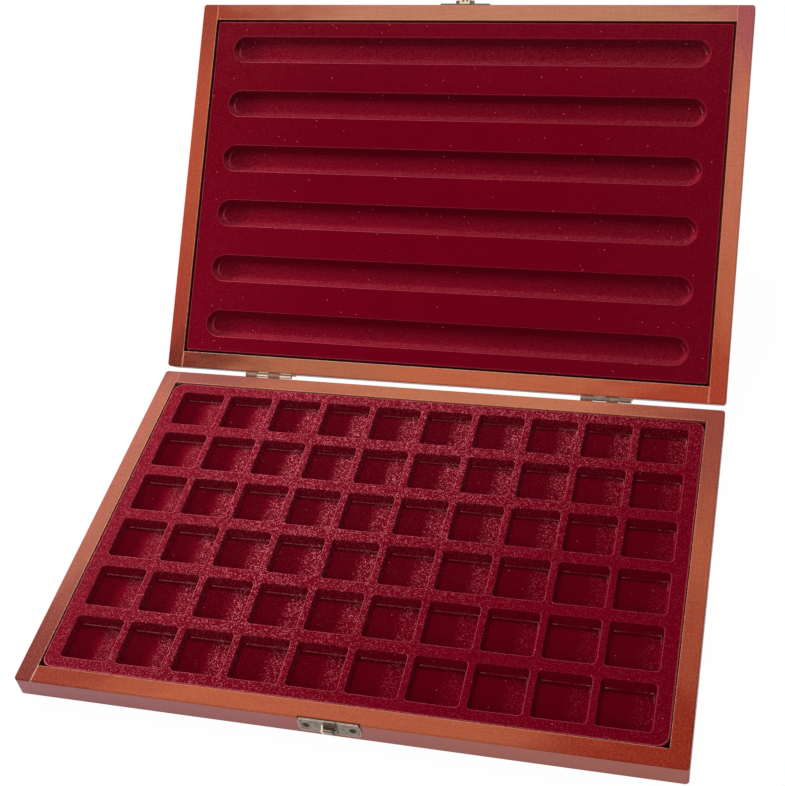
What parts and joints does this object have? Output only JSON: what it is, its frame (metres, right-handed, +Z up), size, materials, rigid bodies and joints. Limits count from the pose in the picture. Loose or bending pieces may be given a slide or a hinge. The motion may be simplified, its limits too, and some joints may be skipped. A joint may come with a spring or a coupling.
{
  "type": "coin display case",
  "caption": "Shallow hinged wooden coin case with a flocked tray of square pockets in the base, a slotted flocked pad in the lid and a hook-and-hasp latch.",
  "frame": {"origin": "centre of the base's underside", "axes": "+X along the hinge, +Y from the base's front to the hinge, +Z up"},
  "size_m": [0.35, 0.4377, 0.1782],
  "materials": {
    "stained_wood": "red-brown stain under a satin varnish",
    "panel_wood": "red-brown stain under a satin varnish",
    "tray_flock": "crimson flock on formed sheet",
    "pad_flock": "crimson flock on formed sheet",
    "aged_brass": "aged, satin, bright on its edges",
    "screw_metal": "aged, satin",
    "pin_steel": "plain wire"
  },
  "bodies": {
    "base": {"base_rail_front": "stained_wood", "base_rail_back": "stained_wood", "base_rail_left": "stained_wood", "base_rail_right": "stained_wood", "base_panel": "panel_wood", "tray_floor": "tray_flock", "tray_long_ribs": "tray_flock", "tray_cross_ribs": "tray_flock", "strike_plate": "aged_brass", "strike_screws": "screw_metal", "hinge_left_base_leaf": "aged_brass", "hinge_right_base_leaf": "aged_brass", "hinge_left_pin": "pin_steel", "hinge_right_pin": "pin_steel", "hinge_base_screws": "screw_metal"},
    "lid": {"lid_rail_front": "stained_wood", "lid_rail_back": "stained_wood", "lid_rail_left": "stained_wood", "lid_rail_right": "stained_wood", "lid_panel": "panel_wood", "pad_backing": "pad_flock", "pad_bars": "pad_flock", "pad_ends": "pad_flock", "hinge_left_lid_leaf": "aged_brass", "hinge_right_lid_leaf": "aged_brass", "hinge_lid_screws": "screw_metal", "hasp_plate": "aged_brass", "hasp_screws": "screw_metal", "hasp_pin": "pin_steel"},
    "hasp": {"hasp_flap": "aged_brass"}
  },
  "joints": [
    {"name": "lid_hinge", "type": "hinge", "parent": "base", "child": "lid", "pos_m": [0, 0.1207, 0.01365], "axis": [1, 0, 0], "range_deg": [0, 139.2]},
    {"name": "hasp_hinge", "type": "hinge", "parent": "lid", "child": "hasp", "pos_m": [-0.001, 0.30471, 0.16991], "axis": [1, 0, 0], "range_deg": [0, 90]}
  ]
}
